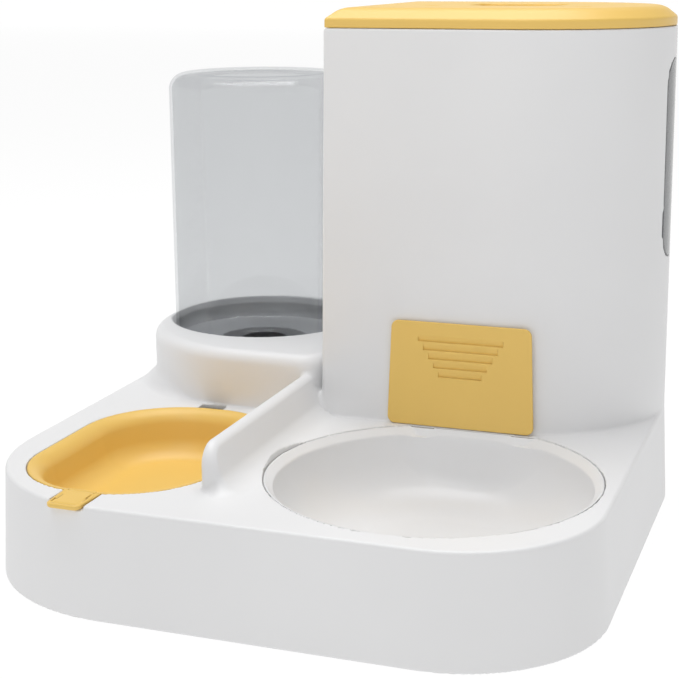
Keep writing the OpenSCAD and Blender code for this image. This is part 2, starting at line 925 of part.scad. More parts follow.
module bottle_cap() {
    floor_top = cap_z + cap_floor_t;
    color(shell_color) at_well() {
        difference() {
            translate([0, 0, cap_z]) cylinder(r = cap_r, h = cap_h);
            translate([0, 0, floor_top]) cylinder(r = neck_r + 0.1, h = cap_h);
            translate([0, 0, cap_z - past]) cylinder(r = cap_hole_r, h = cap_h);
            for (i = [0 : cap_grip_count - 1]) rotate([0, 0, i * 360 / cap_grip_count])
                translate([cap_r + cap_grip_out, 0, cap_z - past])
                    cylinder(r = cap_grip_r, h = cap_h + 2 * past);
        }
        for (i = [0 : 2]) rotate([0, 0, i * 120]) translate([bridge_post_at, 0, floor_top - eps])
            cylinder(r = bridge_post_r, h = bridge_z - floor_top + 2 * eps);
        tube(bridge_r, bridge_bore_r, bridge_z, bridge_z + bridge_t);
    }
}

module cap_gasket() {
    low = cap_z + cap_floor_t;
    bore = sleeve_r - sleeve_wall;
    color(rubber_color) at_well() rotate_extrude() polygon([
        [bore, low], [neck_r, low], [neck_r, low + gasket_t], [sleeve_r, low + gasket_t],
        [sleeve_r, sleeve_top], [bore, sleeve_top]
    ]);
}

module valve_stem() {
    color(steel_color) at_well() rotate_extrude() polygon([
        [0, stem_low], [stem_r, stem_low], [stem_r, disc_z], [disc_r, disc_z], [disc_r, disc_z + disc_t],
        [stem_r, disc_z + disc_t], [stem_r, stem_high], [0, stem_high]
    ]);
}

module valve_seal() {
    color(rubber_color) at_well() tube(valve_ring_r, stem_r, disc_z - valve_ring_t, disc_z);
}

// Round wire wound into an upright coil
module coil(r, wire_r, z0, z1, turns) {
    sides = 8;
    rings = turns * 20;
    function ring(k) = let (a = 360 * turns * k / rings, z = z0 + (z1 - z0) * k / rings)
        [for (j = [0 : sides - 1]) let (b = 360 * j / sides)
            [(r + wire_r * cos(b)) * cos(a), (r + wire_r * cos(b)) * sin(a), z + wire_r * sin(b)]];
    polyhedron(
        points = [for (k = [0 : rings]) for (p = ring(k)) p],
        faces = concat(
            [[for (j = [0 : sides - 1]) j]],
            [[for (j = [0 : sides - 1]) (rings + 1) * sides - 1 - j]],
            [for (k = [0 : rings - 1]) for (j = [0 : sides - 1]) let (n = (j + 1) % sides)
                [k * sides + j, (k + 1) * sides + j, (k + 1) * sides + n]],
            [for (k = [0 : rings - 1]) for (j = [0 : sides - 1]) let (n = (j + 1) % sides)
                [k * sides + j, (k + 1) * sides + n, k * sides + n]]
        )
    );
}

module valve_spring() {
    low = disc_z + disc_t + spring_wire_r;
    high = bridge_z - spring_wire_r;
    color(steel_color) at_well() coil(spring_r, spring_wire_r, low + eps, high - eps, spring_turns);
}

base_housing();
bottle_seat();
food_tower();
bottom_cover();
cover_screws();
rubber_feet();
chute();
chute_screws();
window_lens();
window_gasket();
water_tray();
tray_seal();
valve_post();
outlet_shutter();
shutter_clips();
shutter_screws();
lid();
lid_liner();
lid_seal();
food_bowl();
water_bowl();
bottle();
bottle_cap();
cap_gasket();
valve_stem();
valve_seal();
valve_spring();
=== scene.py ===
"""Looks of the gravity pet feeder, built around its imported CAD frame.

The moulded pieces are described as signed distances in millimetres, so that every foot, rim and edge
gets the soft round of an injection moulding, and are turned into meshes by a surface net.
"""
import json
import math

import bpy
import numpy as np
from mathutils import Matrix, Vector

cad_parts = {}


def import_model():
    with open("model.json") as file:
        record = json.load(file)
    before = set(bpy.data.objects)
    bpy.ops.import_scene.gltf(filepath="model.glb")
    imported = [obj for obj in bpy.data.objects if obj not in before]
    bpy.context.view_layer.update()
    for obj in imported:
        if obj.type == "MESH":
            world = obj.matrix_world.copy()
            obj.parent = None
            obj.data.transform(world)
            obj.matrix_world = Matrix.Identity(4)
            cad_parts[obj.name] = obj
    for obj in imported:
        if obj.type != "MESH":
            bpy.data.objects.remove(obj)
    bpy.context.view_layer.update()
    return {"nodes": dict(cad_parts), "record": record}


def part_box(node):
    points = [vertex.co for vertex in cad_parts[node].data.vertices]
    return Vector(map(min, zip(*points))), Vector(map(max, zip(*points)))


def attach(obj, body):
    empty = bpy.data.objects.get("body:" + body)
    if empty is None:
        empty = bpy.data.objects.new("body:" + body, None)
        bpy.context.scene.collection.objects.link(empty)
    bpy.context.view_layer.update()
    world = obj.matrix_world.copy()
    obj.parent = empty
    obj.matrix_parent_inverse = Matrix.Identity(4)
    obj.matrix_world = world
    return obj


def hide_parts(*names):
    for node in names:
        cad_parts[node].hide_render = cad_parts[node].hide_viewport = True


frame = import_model()

MM = 0.001
NORMAL_STEP = 0.02          # mm, for slopes of a distance field


# ---------------------------------------------------------------- distances

def plate(x, y, outline):
    """Distance to a four-cornered outline: x0, x1, y0, y1, then its corner radii from front left."""
    x0, x1, y0, y1, front_left, front_right, back_right, back_left = outline
    d = np.maximum(np.maximum(x0 - x, x - x1), np.maximum(y0 - y, y - y1))
    corners = (
        (x0 + front_left, y0 + front_left, front_left, -1, -1),
        (x1 - front_right, y0 + front_right, front_right, 1, -1),
        (x1 - back_right, y1 - back_right, back_right, 1, 1),
        (x0 + back_left, y1 - back_left, back_left, -1, 1),
    )
    for cx, cy, r, sx, sy in corners:
        inside = (sx * (x - cx) > 0) & (sy * (y - cy) > 0)
        d = np.where(inside, np.hypot(x - cx, y - cy) - r, d)
    return d


def even(x0, x1, y0, y1, r):
    """An outline with four equal corners."""
    return (x0, x1, y0, y1, r, r, r, r)


def slab(v, low, high):
    return np.maximum(low - v, v - high)


def max_of(*parts):
    """Plain intersection of several distances."""
    d = parts[0]
    for part in parts[1:]:
        d = np.maximum(d, part)
    return d


def meet(a, b, r):
    """Intersection with a rounded edge of radius r."""
    return np.minimum(-r, np.maximum(a, b)) + np.hypot(np.maximum(r + a, 0), np.maximum(r + b, 0))


def cut(a, b, r):
    """a without b, its new edge rounded by r."""
    return meet(a, -b, r)


def fillet(a, b, r):
    """Union with a round inner corner of radius r."""
    return np.maximum(r, np.minimum(a, b)) - np.hypot(np.maximum(r - a, 0), np.maximum(r - b, 0))


# ---------------------------------------------------------------- meshes

def surface_net(distance, low, high, step):
    """Closed quad mesh of distance = 0 in the box from low to high, one vertex in each crossed cell."""
    low = np.array(low, float) - 1.5 * step
    count = np.ceil((np.array(high, float) + 1.5 * step - low) / step).astype(int) + 1
    axes = [low[i] + step * np.arange(count[i]) for i in range(3)]
    x, y, z = axes[0][:, None, None], axes[1][None, :, None], axes[2][None, None, :]
    value = np.broadcast_to(distance(x, y, z), tuple(count)).astype(np.float32)
    solid = value < 0
    total = sum(
        solid[i : count[0] - 1 + i, j : count[1] - 1 + j, k : count[2] - 1 + k].astype(np.int8)
        for i in (0, 1) for j in (0, 1) for k in (0, 1)
    )
    cells = np.argwhere((total > 0) & (total < 8))
    number = np.full(total.shape, -1, np.int64)
    number[tuple(cells.T)] = np.arange(len(cells))

    spot = np.zeros((len(cells), 3))
    crossings = np.zeros(len(cells))
    for axis in range(3):
        for offset in ((0, 0), (0, 1), (1, 0), (1, 1)):
            start = np.insert(offset, axis, 0)
            end = np.insert(offset, axis, 1)
            a = value[tuple((cells + start).T)]
            b = value[tuple((cells + end).T)]
            crossed = (a < 0) != (b < 0)
            share = np.where(crossed, a / np.where(crossed, a - b, 1), 0)
            spot += crossed[:, None] * (start + share[:, None] * (end - start))
            crossings += crossed
    points = low + step * (cells + spot / crossings[:, None])

    faces = []
    for axis in range(3):
        u, v = (axis + 1) % 3, (axis + 2) % 3
        near = [slice(None)] * 3
        far = [slice(None)] * 3
        near[axis], far[axis] = slice(None, -1), slice(1, None)
        leaving = solid[tuple(near)] & ~solid[tuple(far)]
        entering = ~solid[tuple(near)] & solid[tuple(far)]
        for edges, order in ((leaving, (0, 1, 2, 3)), (entering, (3, 2, 1, 0))):
            spots = np.argwhere(edges)
            spots = spots[(spots[:, u] > 0) & (spots[:, v] > 0)]
            spots = spots[(spots[:, u] < total.shape[u]) & (spots[:, v] < total.shape[v])]
            ring = []
            for du, dv in ((1, 1), (0, 1), (0, 0), (1, 0)):
                shifted = spots.copy()
                shifted[:, u] -= du
                shifted[:, v] -= dv
                ring.append(number[tuple(shifted.T)])
            faces.append(np.stack([ring[i] for i in order], axis=1))
    return points, np.concatenate(faces)


def slope(distance, p):
    """Gradient of a distance field at points p."""
    h = NORMAL_STEP
    parts = []
    for axis in range(3):
        step = np.zeros(3)
        step[axis] = h
        ahead, behind = p + step, p - step
        parts.append((distance(*ahead.T) - distance(*behind.T)) / (2 * h))
    return np.stack(parts, axis=1)


def settle(distance, p, reach):
    """Moves points onto distance = 0, by at most reach."""
    start = p.copy()
    for _ in range(4):
        g = slope(distance, p)
        size = np.maximum((g * g).sum(1), 0.05)
        p = p - (distance(*p.T) / size)[:, None] * g
        p = start + np.clip(p - start, -reach, reach)
    return p


def moulded(name, distance, low, high, step, keep, material, body, replaced=()):
    """A smooth moulding from its distance field. keep is the share of its triangles that stays."""
    points, faces = surface_net(distance, low, high, step)
    points = settle(distance, points, step)
    mesh = bpy.data.meshes.new(name)
    mesh.from_pydata((points * MM).tolist(), [], faces.tolist())
    mesh.validate()
    obj = bpy.data.objects.new(name, mesh)
    bpy.context.scene.collection.objects.link(obj)
    if keep < 1:
        fewer = obj.modifiers.new("fewer", "DECIMATE")
        fewer.ratio = keep
        fewer.use_collapse_triangulate = True
        graph = bpy.context.evaluated_depsgraph_get()
        mesh = bpy.data.meshes.new_from_object(obj.evaluated_get(graph))
        obj.modifiers.clear()
        obj.data = mesh
    co = np.zeros(len(mesh.vertices) * 3)
    mesh.vertices.foreach_get("co", co)
    co = settle(distance, co.reshape(-1, 3) / MM, 0.3 * step)
    mesh.vertices.foreach_set("co", (co * MM).ravel())
    mesh.polygons.foreach_set("use_smooth", [True] * len(mesh.polygons))
    normals = slope(distance, co)
    normals /= np.maximum(np.linalg.norm(normals, axis=1), 1e-6)[:, None]
    mesh.normals_split_custom_set_from_vertices(normals.tolist())
    mesh.update()
    return finish_piece(obj, material, body, replaced)


def finish_piece(obj, material, body, replaced=()):
    obj.data.materials.clear()
    obj.data.materials.append(material)
    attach(obj, body)
    if replaced:
        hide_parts(*replaced)
    return obj


def turned(name, profile, centre, segments):
    """Closed surface of revolution about +Z from (radius, height) points in mm."""
    verts, faces, rows = [], [], []
    for r, z in profile:
        if r < 1e-6:
            rows.append([len(verts)])
            verts.append((centre[0], centre[1], z))
            continue
        rows.append(list(range(len(verts), len(verts) + segments)))
        for i in range(segments):
            a = 2 * math.pi * i / segments
            verts.append((centre[0] + r * math.cos(a), centre[1] + r * math.sin(a), z))
    for one, two in zip(rows, rows[1:] + rows[:1]):
        if len(one) == 1 and len(two) == 1:
            continue
        for i in range(segments):
            j = (i + 1) % segments
            ring = [one[i % len(one)], one[j % len(one)], two[j % len(two)], two[i % len(two)]]
            faces.append(list(dict.fromkeys(ring)))
    mesh = bpy.data.meshes.new(name)
    mesh.from_pydata([(v[0] * MM, v[1] * MM, v[2] * MM) for v in verts], [], faces)
    mesh.validate()
    obj = bpy.data.objects.new(name, mesh)
    bpy.context.scene.collection.objects.link(obj)
    return obj


def arc(cx, cy, r, start, end, steps):
    """(radius, height) points along an arc, angles in degrees."""
    return [
        (cx + r * math.cos(math.radians(a)), cy + r * math.sin(math.radians(a)))
        for a in np.linspace(start, end, steps + 1)
    ]


# ---------------------------------------------------------------- materials

def new_material(name):
    material = bpy.data.materials.new(name)
    material.use_nodes = True
    nodes, links = material.node_tree.nodes, material.node_tree.links
    return material, nodes, links, nodes["Principled BSDF"]


def noise_on_object(nodes, links, scale, detail):
    coordinates = nodes.new("ShaderNodeTexCoord")
    noise = nodes.new("ShaderNodeTexNoise")
    noise.inputs["Scale"].default_value = scale
    noise.inputs["Detail"].default_value = detail
    links.new(coordinates.outputs["Object"], noise.inputs["Vector"])
    return noise.outputs["Fac"]


def ramp(nodes, links, source, stops):
    """Colour ramp from (place, colour) stops."""
    node = nodes.new("ShaderNodeValToRGB")
    links.new(source, node.inputs["Fac"])
    elements = node.color_ramp.elements
    while len(elements) < len(stops):
        elements.new(0.5)
    for element, (place, colour) in zip(elements, stops):
        element.position = place
        element.color = (*colour, 1)
    return node.outputs["Color"]


def moulded_plastic(name, colour, roughness, grain=0.012, spread=0.02, coat=0.0):
    """Satin injection-moulded plastic: fine spark-eroded grain and a slight drift in tone and gloss."""
    material, nodes, links, shader = new_material(name)
    drift = noise_on_object(nodes, links, 9.0, 3.0)
    darker = tuple(c * (1 - spread) for c in colour)
    lighter = tuple(min(1.0, c * (1 + spread)) for c in colour)
    links.new(ramp(nodes, links, drift, [(0.3, darker), (0.7, lighter)]), shader.inputs["Base Color"])

    fine = noise_on_object(nodes, links, 1800.0, 2.0)
    gloss = nodes.new("ShaderNodeMapRange")
    gloss.inputs["To Min"].default_value = roughness - 0.04
    gloss.inputs["To Max"].default_value = roughness + 0.05
    links.new(fine, gloss.inputs["Value"])
    links.new(gloss.outputs["Result"], shader.inputs["Roughness"])

    bump = nodes.new("ShaderNodeBump")
    bump.inputs["Strength"].default_value = grain * 10
    bump.inputs["Distance"].default_value = 0.00005
    links.new(fine, bump.inputs["Height"])
    links.new(bump.outputs["Normal"], shader.inputs["Normal"])
    shader.inputs["IOR"].default_value = 1.48
    shader.inputs["Coat Weight"].default_value = coat
    shader.inputs["Coat Roughness"].default_value = 0.15
    return material


def clear_plastic(name, colour, roughness, transmission, open_share):
    """Thin clear plastic with faint flow marks in its gloss; open_share of the light goes straight on."""
    material, nodes, links, shader = new_material(name)
    tone = noise_on_object(nodes, links, 30.0, 2.0)
    darker = tuple(c * 0.985 for c in colour)
    links.new(ramp(nodes, links, tone, [(0.35, darker), (0.65, colour)]), shader.inputs["Base Color"])
    gloss = nodes.new("ShaderNodeMapRange")
    gloss.inputs["To Min"].default_value = roughness
    gloss.inputs["To Max"].default_value = roughness + 0.03
    links.new(noise_on_object(nodes, links, 60.0, 3.0), gloss.inputs["Value"])
    links.new(gloss.outputs["Result"], shader.inputs["Roughness"])
    shader.inputs["Transmission Weight"].default_value = transmission
    shader.inputs["IOR"].default_value = 1.5
    through = nodes.new("ShaderNodeBsdfTransparent")
    through.inputs["Color"].default_value = (*colour, 1)
    blend = nodes.new("ShaderNodeMixShader")
    blend.inputs["Fac"].default_value = open_share
    links.new(shader.outputs["BSDF"], blend.inputs[1])
    links.new(through.outputs["BSDF"], blend.inputs[2])
    links.new(blend.outputs["Shader"], nodes["Material Output"].inputs["Surface"])
    return material


def rubber(name, colour, roughness):
    material, nodes, links, shader = new_material(name)
    speck = noise_on_object(nodes, links, 600.0, 3.0)
    lighter = tuple(c * 1.25 for c in colour)
    links.new(ramp(nodes, links, speck, [(0.35, colour), (0.7, lighter)]), shader.inputs["Base Color"])
    shader.inputs["Roughness"].default_value = roughness
    bump = nodes.new("ShaderNodeBump")
    bump.inputs["Strength"].default_value = 0.25
    bump.inputs["Distance"].default_value = 0.0001
    links.new(speck, bump.inputs["Height"])
    links.new(bump.outputs["Normal"], shader.inputs["Normal"])
    return material


def plated_steel(name):
    material, nodes, links, shader = new_material(name)
    marks = noise_on_object(nodes, links, 900.0, 4.0)
    links.new(
        ramp(nodes, links, marks, [(0.3, (0.42, 0.43, 0.45)), (0.7, (0.60, 0.61, 0.62))]),
        shader.inputs["Base Color"],
    )
    shader.inputs["Metallic"].default_value = 1.0
    shader.inputs["Roughness"].default_value = 0.32
    return material


WHITE = moulded_plastic("white_plastic", (0.80, 0.80, 0.805), 0.42)
BOWL_WHITE = moulded_plastic("bowl_white_plastic", (0.82, 0.82, 0.825), 0.30, coat=0.15)
YELLOW = moulded_plastic("yellow_plastic", (0.83, 0.55, 0.14), 0.40)
CLEAR = clear_plastic("clear_bottle", (0.875, 0.88, 0.885), 0.02, 1.0, 0.93)
TINTED = clear_plastic("tinted_window", (0.36, 0.37, 0.38), 0.10, 0.55, 0.1)
BLACK = rubber("black_rubber", (0.012, 0.012, 0.013), 0.55)
SILICONE = rubber("silicone", (0.55, 0.57, 0.58), 0.4)
STEEL = plated_steel("plated_steel")


# ---------------------------------------------------------------- the frame's sizes, in mm

def box_mm(node):
    low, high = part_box(node)
    return np.array(low) / MM, np.array(high) / MM


base_low, base_high = box_mm("base_housing")
tower_low, tower_high = box_mm("food_tower")
seat_low, seat_high = box_mm("bottle_seat")
food_low, food_high = box_mm("food_bowl")
water_low, water_high = box_mm("water_bowl")
bottle_low, bottle_high = box_mm("bottle")
shutter_low, shutter_high = box_mm("outlet_shutter")
lid_low, lid_high = box_mm("lid")
lens_low, lens_high = box_mm("window_lens")

TOP = tower_low[2]                      # base's top face
FOOT = base_low[2]
BASE = (base_low[0], base_high[0], base_low[1], base_high[1], 86, 72, 77.4, 62)
BASE_LEAN = 3.0
BASE_EDGE_R = 1.6
BASE_FOOT_R = 0.6
SUNK = FOOT + 8                         # where the mouldings on the base start, inside it
WALL = 2.6
PLATE = 3.0
MOUTH = tower_high[2]
TOWER_R = (tower_high[1] - tower_low[1]) / 2
TOWER = (tower_low[0], tower_high[0], tower_low[1], tower_high[1], 3, TOWER_R, TOWER_R, 16)
TOWER_LEAN = 2.4
TOWER_FOOT_R = 1.5
TOWER_Y = (tower_low[1] + tower_high[1]) / 2
SEAT = (seat_low[0], tower_low[0], seat_low[1], seat_high[1], 78, 14, 2, 60)
SEAT_TOP = seat_high[2]
SEAT_EDGE_R = 6.8
SEAT_FOOT_R = 1.2
SEAT_FOOT_MORE = 7.8                    # how much wider that round is at the far left
SEAT_FOOT_X = -100.0                    # where it starts to widen
SEAT_FOOT_SPAN = 25.0
WELL_X = (bottle_low[0] + bottle_high[0]) / 2
WELL_Y = (bottle_low[1] + bottle_high[1]) / 2
BOTTLE_R = (bottle_high[0] - bottle_low[0]) / 2
WELL_R = BOTTLE_R + 1.0
WELL_FLOOR = bottle_low[2] + 26.5       # the bottle's neck hangs this far below the well floor
WELL_BEVEL = 1.5
WELL_BEVEL_H = 4.0
WELL_WALL = 2.9
WELL_FLOOR_T = 2.4
NECK_HOLE_R = 26.0
NECK_TUBE_WALL = 2.0
RIDGE_LEFT = -33.2
RIDGE_FOOT_RIGHT = -20.5
RIDGE_FRONT = -120.6
RIDGE_BACK = 24.0
RIDGE_NOSE_R = 11.0
RIDGE_EDGE_R = 3.0
RIDGE_FACE = (0.955, 0.297)             # x and z of the leaning face's normal
RIDGE_FOOT_R = 1.5
RIDGE_FOOT_MORE = 7.5                   # how much wider that round is on the right
RIDGE_TOP = base_high[2]

FOOD_R = (food_high[0] - food_low[0]) / 2
FOOD_X = (food_low[0] + food_high[0]) / 2
FOOD_Y = food_low[1] + FOOD_R
FOOD_CHORD = food_high[1]
FOOD_BAND = 4.0
FOOD_LIP = 0.8
FOOD_FLANGE = 5.5
FOOD_WALL = 2.2
FOOD_BACK_IN = 2.6                      # from the rim's straight back edge to the hollow
TAB_LENGTH = 19.8                       # from the water bowl's rim to the tip of its tab
WATER = (water_low[0], water_high[0], water_low[1] + TAB_LENGTH, water_high[1], 46, 48, 40, 50)
WATER_FLANGE = 2.0
WATER_WALL = 2.0
WATER_RIM_R = 7.0
WATER_FLOOR_R = 10.0
PORT_X, PORT_Z, PORT_R = -62.0, 44.0, 3.2
TAB_X = -85.0
TAB_W = 19.0
TAB_TIP_W = 17.0
TAB_TOP = TOP + 0.4
TAB_T = 2.4
SLOT = (-92.0, -78.0, 4.9, 11.5, 0.8, 0.8, 0.8, 0.8)
OUTLET = even(27.0, 85.0, 57.5, 98.0, 1.5)
WINDOW_Z = (lens_low[2] + lens_high[2]) / 2
WINDOW_HALF = 11.5
WINDOW_RIM = 2.5
WINDOW_REACH = (lens_high[2] - lens_low[2]) / 2 - WINDOW_HALF - WINDOW_RIM


# ---------------------------------------------------------------- white shell

def base_side(x, y, z):
    return plate(x, y, BASE) + BASE_LEAN * (np.minimum(z, TOP) - FOOT) / (TOP - FOOT)


def tower_side(x, y, z):
    lean = np.where(z > TOP, TOWER_LEAN * (z - TOP) / (MOUTH - TOP), BASE_LEAN * (z - TOP) / (TOP - FOOT))
    return plate(x, y, TOWER) + lean


def window_shape(y, z):
    return np.hypot(y - TOWER_Y, np.maximum(np.abs(z - WINDOW_Z) - WINDOW_REACH, 0)) - WINDOW_HALF


def food_disc(x, y, r, chord):
    return np.maximum(np.hypot(x - FOOD_X, y - FOOD_Y) - r, y - chord)


def ease(v):
    """0 below v = 0, 1 above v = 1, smooth between."""
    v = np.clip(v, 0, 1)
    return v * v * (3 - 2 * v)


def ridge_sides(x, z, inside):
    """Upright on the left, leaning on the right, both moved in by inside."""
    right = RIDGE_FACE[0] * (x - RIDGE_FOOT_RIGHT) + RIDGE_FACE[1] * (z - TOP)
    return np.maximum(RIDGE_LEFT - x, right) + inside


def shell(x, y, z):
    side = base_side(x, y, z)
    base = meet(meet(side, z - TOP, BASE_EDGE_R), FOOT - z, BASE_FOOT_R)
    wall = tower_side(x, y, z)
    tower = meet(wall, slab(z, SUNK, MOUTH), 0.8)
    seat_plan = plate(x, y, SEAT)
    seat = meet(seat_plan, slab(z, SUNK, SEAT_TOP), SEAT_EDGE_R)
    nose = meet(RIDGE_FRONT - y, z - RIDGE_TOP, RIDGE_NOSE_R)
    ridge = max_of(meet(nose, ridge_sides(x, z, 0.0), RIDGE_EDGE_R), y - RIDGE_BACK, SUNK - z)
    across = (x - RIDGE_LEFT) / (RIDGE_FOOT_RIGHT - RIDGE_LEFT)
    ridge_foot = RIDGE_FOOT_R + RIDGE_FOOT_MORE * ease(across)
    seat_foot = SEAT_FOOT_R + SEAT_FOOT_MORE * ease((SEAT_FOOT_X - x) / SEAT_FOOT_SPAN)
    body = fillet(base, tower, TOWER_FOOT_R)
    body = np.minimum(body, fillet(base, seat, seat_foot))
    body = np.minimum(body, fillet(tower, seat, 1.0))
    body = np.minimum(body, fillet(base, ridge, ridge_foot))
    body = np.minimum(body, fillet(ridge, tower, 4.0))
    body = np.minimum(body, fillet(ridge, seat, 2.0))
    body = np.maximum(body, side)

    under = max_of(side + WALL, z - (TOP - PLATE))
    hopper = max_of(wall + WALL, TOP - z)
    rho = np.hypot(x - WELL_X, y - WELL_Y)
    cup = max_of(rho - WELL_R - WELL_WALL, WELL_FLOOR - WELL_FLOOR_T - z)
    well_block = np.minimum(cup, rho - NECK_HOLE_R - NECK_TUBE_WALL)
    seat_room = meet(seat_plan + WALL, z - (SEAT_TOP - PLATE), 4.5)
    seat_hollow = max_of(seat_room, TOP - z, -well_block)
    ridge_hollow = max_of(
        ridge_sides(x, z, WALL),
        RIDGE_FRONT + WALL + 4 - y,
        y - RIDGE_BACK + WALL,
        TOP - PLATE - 1 - z,
        z - RIDGE_TOP + 8.0,
        WALL - seat_plan,
        WALL - wall,
    )
    hollow = np.minimum(np.minimum(under, hopper), np.minimum(seat_hollow, ridge_hollow))
    body = cut(body, hollow, 0.4)

    food_ring = max_of(food_disc(x, y, FOOD_R + 3.0, FOOD_CHORD + 3.0), slab(z, TOP - 8.5, TOP - 1))
    body = np.minimum(body, food_ring)

    bevel = WELL_BEVEL * np.clip((z - SEAT_TOP + WELL_BEVEL_H) / WELL_BEVEL_H, 0, 1)
    well = np.minimum(max_of(rho - WELL_R - bevel, WELL_FLOOR - z), max_of(rho - NECK_HOLE_R, TOP - 8 - z))
    body = cut(body, well, 0.9)
    seat_ring = max_of(food_disc(x, y, FOOD_R + 0.15, FOOD_CHORD + 0.2), TOP - FOOD_FLANGE - z)
    body = cut(body, seat_ring, 0.3)
    body = cut(body, max_of(food_disc(x, y, FOOD_R - 1.6, FOOD_CHORD - 2.0), TOP - 12 - z), 0.4)
    water_plan = plate(x, y, WATER)
    body = cut(body, max_of(water_plan - 0.4, TOP - WATER_FLANGE - z), 0.4)
    body = cut(body, max_of(water_plan + 2.6, TOP - 8 - z), 0.3)
    body = cut(body, max_of(plate(x, y, SLOT), slab(z, TOP - 8, TOP + 30)), 0.5)
    notch = max_of(np.abs(x - TAB_X) - TAB_W / 2 - 0.3, y - WATER[2] - 2, TOP - 2.2 - z)
    body = cut(body, notch, 0.3)
    outlet = max_of(plate(x, z, OUTLET), slab(y, tower_low[1] - 8, tower_low[1] + 8))
    body = cut(body, outlet, 0.6)
    window = window_shape(y, z)
    body = cut(body, np.maximum(window, TOWER[1] - TOWER_R - x), 0.4)
    recess = max_of(window - WINDOW_RIM - 0.25, -(wall + 1.5), TOWER[1] - TOWER_R - x)
    return cut(body, recess, 0.3)


# ---------------------------------------------------------------- bowls

def food_bowl(x, y, z):
    rho = np.hypot(x - FOOD_X, y - FOOD_Y)
    floor = food_low[2] + FOOD_WALL
    inner_r = FOOD_R - FOOD_BAND - FOOD_LIP
    band_low = TOP - FOOD_BAND
    depth = band_low - floor
    wall = rho - inner_r - 0.06 * (z - band_low)
    hollow = meet(wall, floor - z, depth * 0.96)
    back = y - (FOOD_CHORD - FOOD_BACK_IN) - 0.10 * (z - band_low)
    hollow = meet(hollow, back, 5.0)
    outer = meet(wall - FOOD_WALL, floor - FOOD_WALL - z, depth * 0.96 + FOOD_WALL)
    outer = max_of(meet(outer, back - FOOD_WALL, 6.0), z - TOP + 1)
    band = max_of((rho - inner_r - (z - band_low)) / math.sqrt(2), band_low - 0.6 - z)
    band = np.maximum(band, (y - (FOOD_CHORD - FOOD_BACK_IN) - 0.5 * (z - band_low)) * 0.9)
    flange = meet(food_disc(x, y, FOOD_R, FOOD_CHORD), slab(z, TOP - FOOD_FLANGE, TOP), 0.4)
    solid = fillet(outer, flange, 0.8)
    solid = np.maximum(solid, z - TOP)
    return cut(cut(solid, hollow, 0.5), band, 0.4)


def water_bowl(x, y, z):
    plan = plate(x, y, WATER)
    floor = water_low[2] + WATER_WALL
    hollow = meet(plan + 6.6 + 0.22 * (TOP - z), floor - z, WATER_FLOOR_R)
    outer_side = plan + 2.9 + 0.32 * (TOP - WATER_FLANGE - z)
    outer = meet(outer_side, floor - WATER_WALL - z, WATER_FLOOR_R + WATER_WALL)
    flange = meet(plan, slab(z, TOP - WATER_FLANGE, TOP), 0.6)
    solid = np.minimum(np.maximum(outer, z - TOP + 0.5), flange)
    air = fillet(hollow, TOP - z, WATER_RIM_R)
    solid = np.maximum(solid, -air)
    half = TAB_W / 2 + (TAB_TIP_W - TAB_W) / 2 * np.clip((WATER[2] - y) / TAB_LENGTH, 0, 1)
    tab_plan = meet(np.abs(x - TAB_X) - half, slab(y, water_low[1], WATER[2] + 2.2), 3.2)
    tab = meet(tab_plan, slab(z, TAB_TOP - TAB_T, TAB_TOP), 0.9)
    tab = cut(tab, max_of(np.abs(tab_plan + 2.2) - 0.5, TAB_TOP - 0.4 - z), 0.2)
    solid = np.minimum(solid, tab)
    port = np.hypot(x - PORT_X, z - PORT_Z) - PORT_R
    return cut(solid, np.maximum(port, WATER[3] - 17 - y), 0.3)


# ---------------------------------------------------------------- shutter and lid

RIBS = 5
RIB_TOP_Z = 103.4
RIB_PITCH = 4.7
RIB_TOP_W = 45.7
RIB_STEP_W = 5.6
RIB_DROP = 1.9                          # from a rib's height to the foot of its wedge
RIB_H = 3.4
RIB_DEEP = 1.1
STEM_X = (30.15, 81.85)


def shutter(x, y, z):
    centre = (shutter_low[0] + shutter_high[0]) / 2
    foot = (shutter_high[0] - shutter_low[0]) / 2
    height = shutter_high[2] - shutter_low[2]
    half = foot - 2.3 * (z - shutter_low[2]) / height
    plan = meet(np.abs(x - centre) - half, slab(z, shutter_low[2], shutter_high[2]), 4.0)
    front = shutter_low[1]
    solid = meet(plan, slab(y, front, front + 1.5), 0.45)
    for i in range(RIBS):
        low = RIB_TOP_Z - i * RIB_PITCH
        rise = z - (low - RIB_DROP)
        deep = front + RIB_DEEP * (1 - np.clip(rise / RIB_H, 0, 1))
        across = np.abs(x - centre) - (RIB_TOP_W - i * RIB_STEP_W) / 2
        wedge = max_of(across, slab(rise, 0, RIB_H), y - deep)
        solid = cut(solid, wedge, 0.12)
    for stem in STEM_X:
        block = max_of(np.abs(x - stem) - 2.85, slab(z, 59, 67), slab(y, front + 0.8, front + 5.0))
        solid = np.minimum(solid, block)
    return solid


DISH = (40.0, 90.0, 66.0, 108.0, 16.0, 16.0, 6.0, 6.0)
DIMPLES = ((23.5, 66.0), (105.5, 61.0))
LID_BAND, LID_SLOPE_H, LID_SLOPE_W = 4.5, 5.5, 7.0
LID_WALL = 2.2


